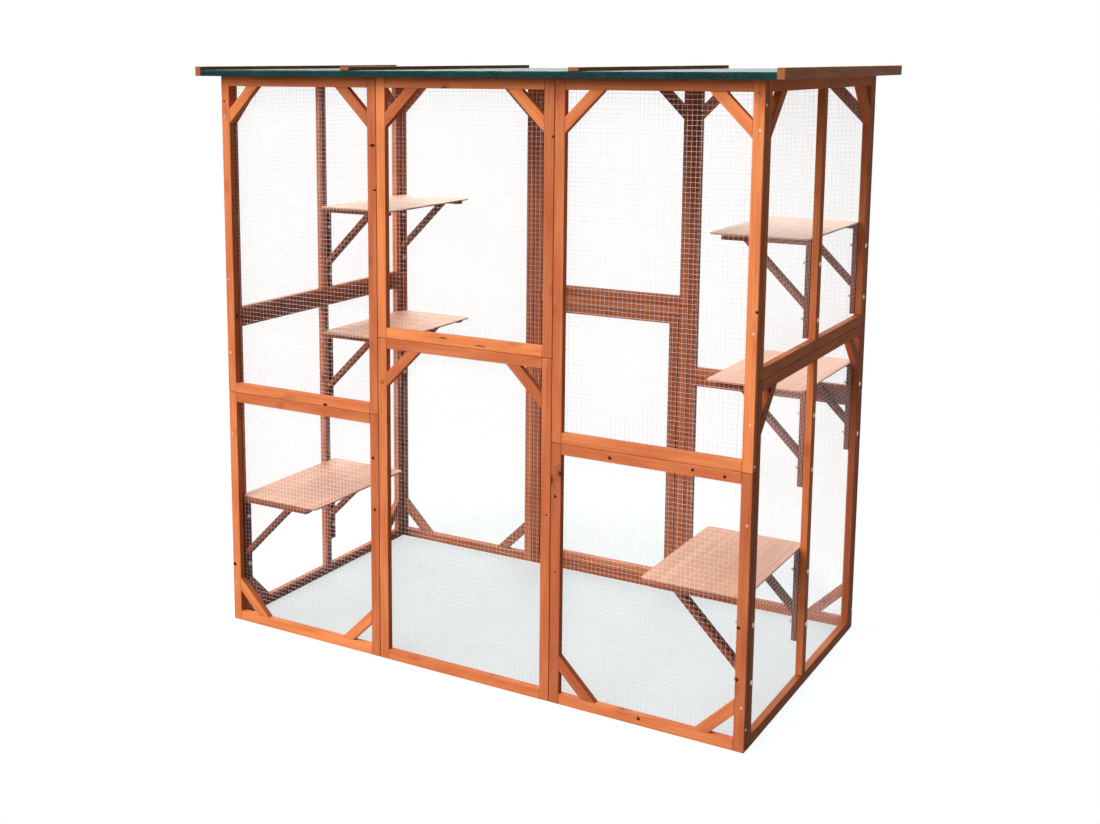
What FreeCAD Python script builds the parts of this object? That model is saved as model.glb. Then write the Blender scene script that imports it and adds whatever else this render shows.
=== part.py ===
import FreeCAD, Part
import os
import re
import Sketcher
from FreeCAD import Placement, Rotation, Vector

# A walk-in pet enclosure of timber panels with welded wire, three bays wide and one bay deep.
# X runs along the width, Y from the front wall to the wall with the door, Z up. The origin is
# on the ground, in the middle of the plan. Lengths are in millimetres, angles in degrees.

# Sizes that can be set by themselves
sizes = {
    # walls
    "bay_width": 560,
    "bay_count": 3,
    "wall_depth": 960,
    "tall_height": 964,
    "short_height": 736,
    "panel_joint": 0.6,
    "timber_face": 30,
    "timber_thickness": 20,
    "brace_leg": 110,
    # welded wire, drawn as a coarse grid
    "net_thickness": 1.2,
    "net_strip": 4,
    "net_lap": 8,
    "net_largest_gap": 125,
    # roof
    "roof_side_overhang": 60,
    "roof_end_overhang": 45,
    "deck_thickness": 16.5,
    "felt_thickness": 1.5,
    "deck_joint": 0.6,
    "seam_offset": 354,
    "side_board_thickness": 20,
    "side_board_height": 28,
    "cover_strip_width": 30,
    "cover_strip_height": 10,
    # shelves
    "shelf_depth": 285,
    "shelf_overhang": 30,
    "shelf_end_gap": 4,
    "shelf_wall_gap": 1,
    "shelf_thickness": 5,
    "shelf_corner": 15,
    "upper_shelf_rise": 306,
    "middle_shelf_drop": 113,
    "lower_shelf_top": 402,
    "bracket_arm": 255,
    "bracket_leg": 255,
    "bracket_section": 15,
    "bracket_width": 30,
    "strut_reach": 175,
    # bolts that hold the brackets
    "bolt_radius": 3,
    "bolt_head_radius": 6.5,
    "bolt_head_height": 3,
    "bolt_nut_flat": 10,
    "bolt_nut_height": 5,
    "bolt_tip": 5,
    "bolt_hole_gap": 0.2,
    "upper_bolt_drop": 50,
    "lower_bolt_drop": 204,
    # door
    "door_gap": 3,
    "hinge_inset": 150,
    "hinge_length": 60,
    "hinge_leaf_width": 24,
    "hinge_leaf_thickness": 1.5,
    "hinge_knuckle_radius": 3.5,
    "hinge_knuckle_count": 5,
    "hinge_running_gap": 0.3,
    "hinge_pin_radius": 1.7,
    "hinge_pin_gap": 0.05,
    "hinge_pin_head": 1,
    "hinge_screw_radius": 2,
    # barrel bolt
    "latch_length": 26,
    "latch_width": 26,
    "latch_plate_thickness": 1.5,
    "latch_edge_inset": 2,
    "latch_rod_radius": 4,
    "latch_rod_gap": 0.35,
    "latch_guide_length": 6,
    "latch_guide_wall": 3,
    "latch_guide_inset": 1,
    "latch_throw": 18,
    "latch_stop_gap": 0.5,
    "latch_knob_radius": 3,
    "latch_knob_length": 14,
    "latch_tail": 5,
    "keeper_length": 20,
    "keeper_edge_inset": 3,
}

# Sizes that follow from the ones above
formulas = {
    "half_width": "bay_width * bay_count / 2",
    "half_depth": "wall_depth / 2",
    "wall_height": "tall_height + short_height",
    "panel_width": "bay_width - panel_joint",
    "side_width": "wall_depth - 2 * timber_thickness - panel_joint",
    "inside_half_width": "half_width - timber_thickness",
    "inside_half_depth": "half_depth - timber_thickness",
    "net_half_width": "inside_half_width - net_thickness",
    "net_half_depth": "inside_half_depth - net_thickness",
    "roof_half_width": "half_width + roof_side_overhang",
    "roof_half_depth": "half_depth + roof_end_overhang",
    "deck_half_width": "roof_half_width - side_board_thickness",
    "deck_half_depth": "roof_half_depth - felt_thickness",
    "felt_height": "deck_thickness + felt_thickness",
    "shelf_length": "inside_half_depth - shelf_end_gap + shelf_overhang",
    "upper_shelf_top": "tall_height + upper_shelf_rise",
    "middle_shelf_top": "tall_height - middle_shelf_drop",
    "leg_face": "net_half_width - bracket_section",
    "bolt_span": "timber_thickness + net_thickness + bracket_section",
    "door_width": "panel_width - 2 * timber_face - 2 * door_gap",
    "door_height": "tall_height - 2 * timber_face - 2 * door_gap",
    "door_base": "timber_face + door_gap",
    "hinge_axis_x": "-door_width / 2 - door_gap / 2",
    "hinge_axis_y": "half_depth + hinge_knuckle_radius",
    "knuckle_length": "hinge_length / hinge_knuckle_count",
    "latch_axis_y": "half_depth + latch_plate_thickness + latch_guide_wall + latch_rod_radius",
    "latch_axis_z": "tall_height / 2",
    "latch_right": "door_width / 2 - latch_edge_inset",
    "latch_left": "latch_right - latch_length",
    "latch_knob_x": "latch_left - latch_throw - latch_stop_gap - latch_knob_radius",
    "latch_rod_length": "latch_right - latch_knob_x + latch_tail",
    "latch_block": "latch_rod_radius + latch_rod_gap + latch_guide_wall",
    "keeper_left": "door_width / 2 + door_gap + keeper_edge_inset",
}

# The welded wire meets no bolt because the nets have an odd number of gaps each way.
shelf_names = ("upper", "middle", "lower")
sides = {"right": 1, "left": -1}

doc = FreeCAD.newDocument("Enclosure")
sheet = doc.addObject("Spreadsheet::Sheet", "Sizes")
nodes = []


def fill_sheet():
    for row, (name, number) in enumerate(sizes.items(), start=1):
        sheet.set("A%d" % row, name)
        sheet.set("B%d" % row, str(number))
        sheet.setAlias("B%d" % row, name)
    doc.recompute()


def spelled(text):
    """A formula with every name replaced by its cell or by its own formula."""
    def replace(match):
        name = match.group(0)
        if name in sizes:
            return "Sizes." + name
        if name in formulas:
            return "(" + spelled(formulas[name]) + ")"
        return name
    return re.sub(r"[A-Za-z_]\w*", replace, str(text))


def value(text):
    return float(sheet.evalExpression(spelled(text)))


def bind(thing, **formula_of):
    for name, formula in formula_of.items():
        thing.setExpression(name, spelled(formula))
    return thing


def place(thing, x=0, y=0, z=0, turn=None):
    if turn is not None:
        thing.Placement = Placement(Vector(), turn)
    for axis, formula in zip("xyz", (x, y, z)):
        thing.setExpression("Placement.Base." + axis, spelled(formula))
    return thing


def box(name, corner, extent):
    block = doc.addObject("Part::Box", name)
    bind(block, Length=extent[0], Width=extent[1], Height=extent[2])
    return place(block, *corner)


def rod(name, start, radius, length, along):
    """A round bar from a point along +X, +Y or +Z."""
    turns = {
        "x": Rotation(Vector(0, 1, 0), 90),
        "y": Rotation(Vector(1, 0, 0), -90),
        "z": Rotation(),
    }
    bar = doc.addObject("Part::Cylinder", name)
    bind(bar, Radius=radius, Height=length)
    return place(bar, *start, turn=turns[along])


def diagonal(name, corner, signs, leg, width, depth):
    """A strip at 45 degrees across a corner, with both ends cut to lie flat on the two sides.

    The corner is in the XZ plane, the strip lies towards the given signs from it, its outer
    edge meets each side at the given leg, and it is as deep as asked from the corner's Y on.
    """
    sign_x, sign_z = signs
    strip = doc.addObject("Part::Wedge", name)
    bind(strip, Xmin="0", Ymin="0", Zmin="0", Xmax="(%s) * sqrt(2)" % leg, Ymax=width, Zmax=depth)
    bind(strip, X2min=width, X2max="(%s) * sqrt(2) - (%s)" % (leg, width), Z2min="0", Z2max=depth)
    along = Vector(-sign_x, 0, sign_z)
    inward = Vector(-sign_x, 0, -sign_z)
    turn = Rotation(along, inward, along.cross(inward), "XYZ")
    # The strip's own Z points against Y when both signs agree, so it starts at its far face.
    start_y = "(%s) + (%s)" % (corner[1], depth if sign_x * sign_z > 0 else "0")
    return place(strip, "(%s) + (%d) * (%s)" % (corner[0], sign_x, leg), start_y, corner[2], turn)


def group(name, pieces):
    bundle = doc.addObject("Part::Compound", name)
    bundle.Links = pieces
    return bundle


def joined(name, pieces):
    whole = doc.addObject("Part::MultiFuse", name)
    whole.Shapes = pieces
    return whole


def cut(name, base, tool):
    rest = doc.addObject("Part::Cut", name)
    rest.Base = base
    rest.Tool = tool
    return rest


def node(thing, label):
    thing.Label = label
    nodes.append(thing)
    return thing


# Sketched bodies

def new_sketch(body, plane, name):
    sketch = body.newObject("Sketcher::SketchObject", name)
    origin = [item for item in body.Origin.OriginFeatures if item.Role == plane][0]
    sketch.AttachmentSupport = [(origin, "")]
    sketch.MapMode = "FlatFace"
    return sketch


def pin(sketch, item, point, axis, formula):
    """Fixes one coordinate of a sketch point, measured from the sketch's origin."""
    distance = value(formula)
    if distance == 0:
        line = -2 if axis == "X" else -1
        sketch.addConstraint(Sketcher.Constraint("PointOnObject", item, point, line))
        return
    index = sketch.addConstraint(Sketcher.Constraint("Distance" + axis, -1, 1, item, point, distance))
    sketch.setExpression("Constraints[%d]" % index, spelled(formula))


def outline(sketch, corners):
    """A closed loop of straight lines through corners given as formulas."""
    points = [Vector(value(a), value(b), 0) for a, b in corners]
    first = sketch.GeometryCount
    count = len(corners)
    for index in range(count):
        sketch.addGeometry(Part.LineSegment(points[index], points[(index + 1) % count]), False)
    for index in range(count):
        following = first + (index + 1) % count
        sketch.addConstraint(Sketcher.Constraint("Coincident", first + index, 2, following, 1))
    for index, (across, up) in enumerate(corners):
        pin(sketch, first + index, 1, "X", across)
        pin(sketch, first + index, 1, "Y", up)


def pad(body, sketch, length, midplane=False):
    solid = body.newObject("PartDesign::Pad", sketch.Name + "Pad")
    solid.Profile = sketch
    solid.Midplane = midplane
    solid.setExpression("Length", spelled(length))
    return solid


# Timber panels

def panel_name(label, suffix):
    return label.title().replace("_", "") + suffix


def panel(label, width, height, braces, mullion=False):
    """A frame of two uprights, two rails between them, corner braces and maybe a middle upright.

    Its own X runs along the wall, its outer face is at Y zero and its foot at Z zero.
    """
    name = panel_name(label, "")
    deep = "timber_thickness"
    far = "(%s) - timber_face" % width
    between = "(%s) - 2 * timber_face" % width
    high = "(%s) - timber_face" % height
    pieces = [
        box(name + "UprightA", (0, 0, 0), ("timber_face", deep, height)),
        box(name + "UprightB", (far, 0, 0), ("timber_face", deep, height)),
        box(name + "RailBottom", ("timber_face", 0, 0), (between, deep, "timber_face")),
        box(name + "RailTop", ("timber_face", 0, high), (between, deep, "timber_face")),
    ]
    if mullion:
        middle = "((%s) - timber_face) / 2" % width
        tall = "(%s) - 2 * timber_face" % height
        pieces.append(box(name + "Mullion", (middle, 0, "timber_face"), ("timber_face", deep, tall)))
    corners = {
        "bottom": ("timber_face", 1),
        "top": (high, -1),
    }
    for end in braces:
        z, sign_z = corners[end]
        for side, x, sign_x in (("A", "timber_face", 1), ("B", far, -1)):
            pieces.append(diagonal(name + "Brace" + end.title() + side, (x, 0, z),
                                   (sign_x, sign_z), "brace_leg", "timber_face", deep))
    return group(name, pieces)


def gap_count(opening):
    """An odd number of gaps, so that no strip of the net runs down the middle."""
    return 2 * int(opening / 2 / value("net_largest_gap")) + 1


def net(label, width, height, edge_x="0", edge_z="0"):
    """Welded wire on the inner face of a panel: one sheet with a grid of square-cornered gaps."""
    left = value("(%s) + timber_face - net_lap" % edge_x)
    bottom = value("(%s) + timber_face - net_lap" % edge_z)
    clear_x = value("(%s) - 2 * timber_face" % width)
    clear_z = value("(%s) - 2 * timber_face" % height)
    lap = value("net_lap")
    strip = value("net_strip")
    inner = value("timber_thickness")

    def rectangle(x, z, wide, tall):
        corners = [Vector(x, inner, z), Vector(x + wide, inner, z),
                   Vector(x + wide, inner, z + tall), Vector(x, inner, z + tall)]
        return Part.makePolygon(corners + corners[:1])

    columns = gap_count(clear_x)
    rows = gap_count(clear_z)
    pitch_x = clear_x / columns
    pitch_z = clear_z / rows
    wires = [rectangle(left, bottom, clear_x + 2 * lap, clear_z + 2 * lap)]
    for column in range(columns):
        for row in range(rows):
            x = left + lap + column * pitch_x + strip / 2
            z = bottom + lap + row * pitch_z + strip / 2
            wires.append(rectangle(x, z, pitch_x - strip, pitch_z - strip))
    face = Part.Face(wires[0])
    face = face.cut(Part.Compound([Part.Face(wire) for wire in wires[1:]])).Faces[0]
    sheet_net = doc.addObject("Part::Feature", panel_name(label, ""))
    sheet_net.Shape = face.extrude(Vector(0, value("net_thickness"), 0))
    return sheet_net


# Where each wall stands: which way it faces, and where its lower left corner is seen from outside
wall_turns = {
    "front": Rotation(Vector(0, 0, 1), 0),
    "right": Rotation(Vector(0, 0, 1), 90),
    "back": Rotation(Vector(0, 0, 1), 180),
    "left": Rotation(Vector(0, 0, 1), 270),
}
bay_offsets = {"left": -1, "centre": 0, "right": 1}


def stand(thing, wall, bay, base):
    """Puts a panel or net drawn in a panel's own axes into its wall."""
    if wall in ("front", "back"):
        sign = 1 if wall == "front" else -1
        x = "(%d) * bay_width - (%d) * panel_width / 2" % (bay_offsets[bay], sign)
        return place(thing, x, "(%d) * half_depth" % -sign, base, wall_turns[wall])
    sign = sides[wall]
    return place(thing, "(%d) * half_width" % sign, "(%d) * side_width / 2" % -sign, base,
                 wall_turns[wall])


def end_walls():
    """Front and back walls: three bays each, with a split between a tall and a short panel."""
    for wall in ("front", "back"):
        for bay in ("left", "centre", "right"):
            middle = bay == "centre"
            lower = "tall_height" if middle else "short_height"
            upper = "short_height" if middle else "tall_height"
            lower_braces = ("top",) if middle else ("bottom",)
            label = "%s_%s" % (wall, bay)
            if wall == "back" and middle:
                frame = panel("back_door_frame", "panel_width", lower, ())
                node(stand(frame, wall, bay, "0"), "back_door_frame")
            else:
                frame = panel(label + "_lower_panel", "panel_width", lower, lower_braces)
                node(stand(frame, wall, bay, "0"), label + "_lower_panel")
                wire = net(label + "_lower_net", "panel_width", lower)
                node(stand(wire, wall, bay, "0"), label + "_lower_net")
            frame = panel(label + "_upper_panel", "panel_width", upper, ("top",))
            node(stand(frame, wall, bay, lower), label + "_upper_panel")
            wire = net(label + "_upper_net", "panel_width", upper)
            node(stand(wire, wall, bay, lower), label + "_upper_net")


def side_walls(bolt_holes):
    """Side walls: a tall panel under a short one, each with a middle upright and bolt holes."""
    for wall in ("left", "right"):
        lower_braces = ("top",) if wall == "right" else ("bottom",)
        for level, height, base, braces, held in (
                ("lower", "tall_height", "0", lower_braces, ("middle", "lower")),
                ("upper", "short_height", "tall_height", ("top",), ("upper",))):
            label = "%s_%s" % (wall, level)
            frame = stand(panel(label + "_frame", "side_width", height, braces, True),
                          wall, None, base)
            holes = group(panel_name(label, "PanelHoles"), [bolt_holes[wall, name] for name in held])
            node(cut(panel_name(label, "Panel"), frame, holes), label + "_panel")
            wire = net(label + "_net", "side_width", height)
            node(stand(wire, wall, None, base), label + "_net")


# Shelves

def shelf_end(name):
    """The end of the enclosure that a shelf is in: the lower ones are in front."""
    return -1 if name == "lower" else 1


def bracket_starts(name):
    """The lowest Y of the two brackets under a shelf: one on the middle upright, one in the corner."""
    corner = "net_half_depth - bracket_width" if shelf_end(name) > 0 else "-net_half_depth"
    return {"Middle": "-bracket_width / 2", "Corner": corner}


def mirrored(start, length, sign):
    """The lower X of a piece that starts at a distance from the middle, on either side."""
    return start if sign > 0 else "-((%s) + (%s))" % (start, length)


def shelf_plate(side, name):
    sign = sides[side]
    body = doc.addObject("PartDesign::Body", panel_name("%s_%s_shelf" % (side, name), "Body"))
    sketch = new_sketch(body, "XY_Plane", body.Name + "Outline")
    outline(sketch, [("0", "0"), ("shelf_depth", "0"), ("shelf_depth", "shelf_length"),
                     ("0", "shelf_length")])
    board = pad(body, sketch, "shelf_thickness")
    doc.recompute()
    upright = ["Edge%d" % number for number, edge in enumerate(board.Shape.Edges, start=1)
               if abs(edge.tangentAt(edge.FirstParameter).z) > 0.5]
    corners = body.newObject("PartDesign::Fillet", body.Name + "Corners")
    corners.Base = (board, upright)
    corners.setExpression("Radius", spelled("shelf_corner"))
    start = mirrored("net_half_width - shelf_wall_gap - shelf_depth", "shelf_depth", sign)
    back_end = "inside_half_depth - shelf_end_gap - shelf_length"
    front_end = "shelf_end_gap - inside_half_depth"
    y = back_end if shelf_end(name) > 0 else front_end
    place(body, start, y, "%s_shelf_top - shelf_thickness" % name)
    return node(body, "%s_%s_shelf" % (side, name))


def shelf_bolt_rows(name):
    """The heights of the two bolts in each leg."""
    under = "%s_shelf_top - shelf_thickness - bracket_section" % name
    return ["%s - upper_bolt_drop" % under, "%s - lower_bolt_drop" % under]


def shelf_bolt_holes(side, name):
    sign = sides[side]
    holes = []
    for place_name, start in bracket_starts(name).items():
        for row, height in enumerate(shelf_bolt_rows(name)):
            title = panel_name("%s_%s" % (side, name), "Hole%s%d" % (place_name, row))
            x = mirrored("half_width - bolt_span", "bolt_span", sign)
            y = "%s + bracket_width / 2" % start
            holes.append(rod(title, (x, y, height), "bolt_radius + bolt_hole_gap", "bolt_span", "x"))
    return group(panel_name("%s_%s" % (side, name), "Holes"), holes)


def shelf_brackets(side, name, holes):
    """Two triangular brackets: an arm on top of a leg, and a strut that props the arm."""
    sign = sides[side]
    title = panel_name("%s_%s_bracket" % (side, name), "")
    under = "%s_shelf_top - shelf_thickness - bracket_section" % name
    pieces = []
    for place_name, start in bracket_starts(name).items():
        arm_x = mirrored("net_half_width - bracket_arm", "bracket_arm", sign)
        leg_x = mirrored("leg_face", "bracket_section", sign)
        pieces.append(box(title + place_name + "Arm", (arm_x, start, under),
                          ("bracket_arm", "bracket_width", "bracket_section")))
        pieces.append(box(title + place_name + "Leg", (leg_x, start, "%s - bracket_leg" % under),
                          ("bracket_section", "bracket_width", "bracket_leg")))
        corner = ("leg_face" if sign > 0 else "-leg_face", start, under)
        pieces.append(diagonal(title + place_name + "Strut", corner, (-sign, -1),
                               "strut_reach", "bracket_section", "bracket_width"))
    solid = cut(title + "Pair", group(title + "Timbers", pieces), holes)
    return node(solid, "%s_%s_shelf_brackets" % (side, name))


def bolt_master():
    """One bracket bolt along +X from its domed head, with the nut and tip at the far end."""
    body = doc.addObject("PartDesign::Body", "BracketBoltBody")
    shank = new_sketch(body, "XZ_Plane", "BracketBoltProfile")
    reach = "bolt_span + bolt_nut_height + bolt_tip"
    outline(shank, [("-bolt_head_height", "0"), ("-bolt_head_height", "bolt_head_radius / 2"),
                    ("0", "bolt_head_radius"), ("0", "bolt_radius"), (reach, "bolt_radius"),
                    (reach, "0")])
    turned = body.newObject("PartDesign::Revolution", "BracketBoltTurned")
    turned.Profile = shank
    turned.ReferenceAxis = (shank, ["H_Axis"])
    turned.Angle = 360
    doc.recompute()
    nut = new_sketch(body, "YZ_Plane", "BracketBoltNut")
    wide = "bolt_nut_flat / 2"
    point = "bolt_nut_flat / sqrt(3)"
    half = "bolt_nut_flat / sqrt(3) / 2"
    outline(nut, [("-(%s)" % wide, "-(%s)" % half), ("0", "-(%s)" % point), (wide, "-(%s)" % half),
                  (wide, half), ("0", point), ("-(%s)" % wide, half)])
    nut.setExpression("AttachmentOffset.Base.z", spelled("bolt_span"))
    pad(body, nut, "bolt_nut_height")
    doc.recompute()
    return body


def bracket_bolts():
    """Every bracket bolt: head on the outside of the wall, nut on the inside of the leg."""
    master = bolt_master()
    solids = []
    for side, sign in sides.items():
        inward = Rotation(Vector(0, 0, 1), 180 if sign > 0 else 0)
        for name in shelf_names:
            for start in bracket_starts(name).values():
                for height in shelf_bolt_rows(name):
                    spot = Vector(sign * value("half_width"),
                                  value("%s + bracket_width / 2" % start), value(height))
                    bolt = master.Shape.copy()
                    bolt.Placement = Placement(spot, inward)
                    solids.append(bolt)
    bolts = doc.addObject("Part::Feature", "BracketBolts")
    bolts.Shape = Part.Compound(solids)
    return node(bolts, "bracket_bolts")


# Roof

def roof_spans():
    """The left end and the width of each roof panel, between the two side boards."""
    seam = "seam_offset + deck_joint / 2"
    outer = "deck_half_width - (%s)" % seam
    return {
        "left": ("-deck_half_width", outer),
        "centre": ("-seam_offset + deck_joint / 2", "2 * seam_offset - deck_joint"),
        "right": (seam, outer),
    }


def roof():
    """Three decks under felt that folds down over the front and back edges, and their trims."""
    for name, (start, width) in roof_spans().items():
        deck = box("RoofDeck" + name.title(), (start, "-deck_half_depth", "wall_height"),
                   (width, "2 * deck_half_depth", "deck_thickness"))
        node(deck, "roof_%s_deck" % name)
        body = doc.addObject("PartDesign::Body", "RoofFelt" + name.title())
        profile = new_sketch(body, "YZ_Plane", body.Name + "Profile")
        outline(profile, [("-roof_half_depth", "0"), ("-deck_half_depth", "0"),
                          ("-deck_half_depth", "deck_thickness"), ("deck_half_depth", "deck_thickness"),
                          ("deck_half_depth", "0"), ("roof_half_depth", "0"),
                          ("roof_half_depth", "felt_height"), ("-roof_half_depth", "felt_height")])
        pad(body, profile, width)
        place(body, start, "0", "wall_height")
        node(body, "roof_%s_felt" % name)
    boards = []
    strips = []
    for side, sign in sides.items():
        board_x = mirrored("deck_half_width", "side_board_thickness", sign)
        boards.append(box("RoofBoard" + side.title(), (board_x, "-roof_half_depth", "wall_height"),
                          ("side_board_thickness", "2 * roof_half_depth", "side_board_height")))
        strip_x = mirrored("seam_offset - cover_strip_width / 2", "cover_strip_width", sign)
        strips.append(box("RoofStrip" + side.title(),
                          (strip_x, "-roof_half_depth", "wall_height + felt_height"),
                          ("cover_strip_width", "2 * roof_half_depth", "cover_strip_height")))
    node(group("RoofSideBoards", boards), "roof_side_boards")
    node(group("RoofCoverStrips", strips), "roof_cover_strips")


# Door

def door_leaf():
    leaf = panel("door_leaf", "door_width", "door_height", ())
    place(leaf, "door_width / 2", "half_depth", "door_base", wall_turns["back"])
    node(leaf, "door_leaf")
    wire = net("door_net", "door_width", "door_height")
    place(wire, "door_width / 2", "half_depth", "door_base", wall_turns["back"])
    node(wire, "door_net")


def hinge_heights():
    return {
        "Lower": "door_base + hinge_inset - hinge_length / 2",
        "Upper": "door_base + door_height - hinge_inset - hinge_length / 2",
    }


def hinge_leaf(title, sign, base, own_knuckles):
    """A flat leaf on the outer face, with its share of the knuckles round the pin."""
    relief = "hinge_knuckle_radius + hinge_running_gap"
    axis = ("hinge_axis_x", "hinge_axis_y", base)
    plate_x = "hinge_axis_x + (%s)" % (relief if sign > 0 else "-(%s) - hinge_leaf_width" % relief)
    pieces = [box(title + "Plate", (plate_x, "half_depth", base),
                  ("hinge_leaf_width", "hinge_leaf_thickness", "hinge_length"))]
    for index in own_knuckles:
        foot = "(%s) + %d * knuckle_length + hinge_running_gap / 2" % (base, index)
        length = "knuckle_length - hinge_running_gap"
        tab_x = axis[0] if sign > 0 else "hinge_axis_x - (%s)" % relief
        pieces.append(box(title + "Tab%d" % index, (tab_x, "half_depth", foot),
                          (relief, "hinge_leaf_thickness", length)))
        pieces.append(rod(title + "Knuckle%d" % index, (axis[0], axis[1], foot),
                          "hinge_knuckle_radius", length, "z"))
    bores = [rod(title + "Bore", axis, "hinge_pin_radius + hinge_pin_gap", "hinge_length", "z")]
    for index in range(3):
        x = "hinge_axis_x + (%d) * (%s + hinge_leaf_width / 2)" % (sign, relief)
        z = "(%s) + hinge_length * (1 + 2 * %d) / 6" % (base, index)
        bores.append(rod(title + "Screw%d" % index, (x, "half_depth", z), "hinge_screw_radius",
                         "hinge_leaf_thickness", "y"))
    return cut(title, joined(title + "Solid", pieces), group(title + "Bores", bores))


def hinges():
    fixed, moving, pins = [], [], []
    count = int(value("hinge_knuckle_count"))
    for level, base in hinge_heights().items():
        fixed.append(hinge_leaf("HingeFrame" + level, -1, base, range(0, count, 2)))
        moving.append(hinge_leaf("HingeDoor" + level, 1, base, range(1, count, 2)))
        shaft = rod("HingePin" + level, ("hinge_axis_x", "hinge_axis_y", base),
                    "hinge_pin_radius", "hinge_length", "z")
        heads = []
        for end, z in (("Foot", "(%s) - hinge_pin_head" % base), ("Top", "(%s) + hinge_length" % base)):
            heads.append(rod("HingePin%s%s" % (level, end), ("hinge_axis_x", "hinge_axis_y", z),
                             "hinge_knuckle_radius", "hinge_pin_head", "z"))
        pins.append(joined("HingePinWhole" + level, [shaft] + heads))
    node(group("HingeFrameLeaves", fixed), "hinge_frame_leaves")
    node(group("HingeDoorLeaves", moving), "hinge_door_leaves")
    node(group("HingePins", pins), "hinge_pins")


def guide(name, start, length):
    """A block round the rod, standing on its plate."""
    return box(name, (start, "half_depth", "latch_axis_z - latch_block"),
               (length, "latch_axis_y - half_depth + latch_block", "2 * latch_block"))


def barrel_bolt():
    """A sliding bolt on the door, drawn back at rest, and its keeper on the frame."""
    plate = box("LatchPlate", ("latch_left", "half_depth", "latch_axis_z - latch_width / 2"),
                ("latch_length", "latch_plate_thickness", "latch_width"))
    near = guide("LatchGuideNear", "latch_right - latch_guide_inset - latch_guide_length",
                 "latch_guide_length")
    far = guide("LatchGuideFar", "latch_left + latch_guide_inset", "latch_guide_length")
    bore = rod("LatchBore", ("latch_left", "latch_axis_y", "latch_axis_z"),
               "latch_rod_radius + latch_rod_gap", "latch_length", "x")
    node(cut("LatchBase", joined("LatchBaseSolid", [plate, near, far]), bore), "bolt_base")

    shaft = rod("LatchShaft", ("latch_right - latch_rod_length", "latch_axis_y", "latch_axis_z"),
                "latch_rod_radius", "latch_rod_length", "x")
    knob = rod("LatchKnob", ("latch_knob_x", "latch_axis_y", "latch_axis_z"), "latch_knob_radius",
               "latch_rod_radius + latch_knob_length", "y")
    node(joined("LatchRod", [shaft, knob]), "bolt_rod")

    keeper_plate = box("KeeperPlate", ("keeper_left", "half_depth", "latch_axis_z - latch_width / 2"),
                       ("keeper_length", "latch_plate_thickness", "latch_width"))
    keeper_block = guide("KeeperBlock", "keeper_left + latch_guide_inset", "latch_guide_length")
    channel = "latch_rod_radius + latch_rod_gap"
    keeper_channel = box("KeeperChannel", ("keeper_left", "latch_axis_y - (%s)" % channel,
                                           "latch_axis_z - (%s)" % channel),
                         ("keeper_length", "2 * (%s)" % channel, "2 * (%s)" % channel))
    solid = joined("KeeperSolid", [keeper_plate, keeper_block])
    node(cut("Keeper", solid, keeper_channel), "bolt_keeper")


def check_and_write():
    doc.recompute()
    broken = [item.Name for item in doc.Objects
              if "Invalid" in item.State or "Error" in item.State]
    for thing in nodes:
        if thing.Shape.isNull() or not thing.Shape.isValid() or not thing.Shape.Solids:
            broken.append(thing.Label)
    if broken:
        raise RuntimeError("failed: " + ", ".join(broken))
    os.makedirs("parts", exist_ok=True)
    whole = FreeCAD.BoundBox()
    for thing in nodes:
        thing.Shape.exportStep("parts/%s.step" % thing.Label)
        whole.add(thing.Shape.BoundBox)
    print("nodes", len(nodes), "solids", sum(len(thing.Shape.Solids) for thing in nodes))
    print("box", whole)


fill_sheet()
bolt_holes = {}
for shelf_side in sides:
    for shelf_name in shelf_names:
        bolt_holes[shelf_side, shelf_name] = shelf_bolt_holes(shelf_side, shelf_name)
        shelf_plate(shelf_side, shelf_name)
        shelf_brackets(shelf_side, shelf_name, bolt_holes[shelf_side, shelf_name])
end_walls()
side_walls(bolt_holes)
roof()
door_leaf()
hinges()
barrel_bolt()
doc.recompute()
bracket_bolts()
check_and_write()
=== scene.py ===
import math
import random

import bmesh
import bpy
from mathutils import Matrix, Vector


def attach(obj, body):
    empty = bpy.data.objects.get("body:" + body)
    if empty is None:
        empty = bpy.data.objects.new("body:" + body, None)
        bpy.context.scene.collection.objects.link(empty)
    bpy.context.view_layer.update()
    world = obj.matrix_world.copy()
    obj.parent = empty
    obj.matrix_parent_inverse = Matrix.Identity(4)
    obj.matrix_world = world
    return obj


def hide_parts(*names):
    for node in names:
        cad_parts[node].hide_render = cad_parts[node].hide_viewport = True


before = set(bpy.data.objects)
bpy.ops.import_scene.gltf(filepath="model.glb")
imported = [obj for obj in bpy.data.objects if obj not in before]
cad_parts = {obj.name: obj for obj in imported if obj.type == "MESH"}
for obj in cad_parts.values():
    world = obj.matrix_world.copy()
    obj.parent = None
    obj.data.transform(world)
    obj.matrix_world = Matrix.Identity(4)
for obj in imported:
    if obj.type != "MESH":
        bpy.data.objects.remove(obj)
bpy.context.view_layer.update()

xAxis, yAxis, zAxis = Vector((1, 0, 0)), Vector((0, 1, 0)), Vector((0, 0, 1))
rightAngle = math.pi / 2


# Node trees written as expressions

def connect(tree, place, value):
    if isinstance(value, Flow):
        tree.links.new(value.socket, place)
    else:
        place.default_value = value


def addNode(tree, kind, values=(), output=0, **settings):
    # values come in the order of the inputs, or by name or number in a dictionary
    node = tree.nodes.new(kind)
    for name, value in settings.items():
        setattr(node, name, value)
    for place, value in values.items() if isinstance(values, dict) else enumerate(values):
        connect(tree, node.inputs[place], value)
    return Flow(tree, node.outputs[output])


def operators(operation):
    def forward(self, other):
        return addNode(self.tree, "ShaderNodeMath", (self, other), operation=operation)

    def backward(self, other):
        return addNode(self.tree, "ShaderNodeMath", (other, self), operation=operation)

    return forward, backward


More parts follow.
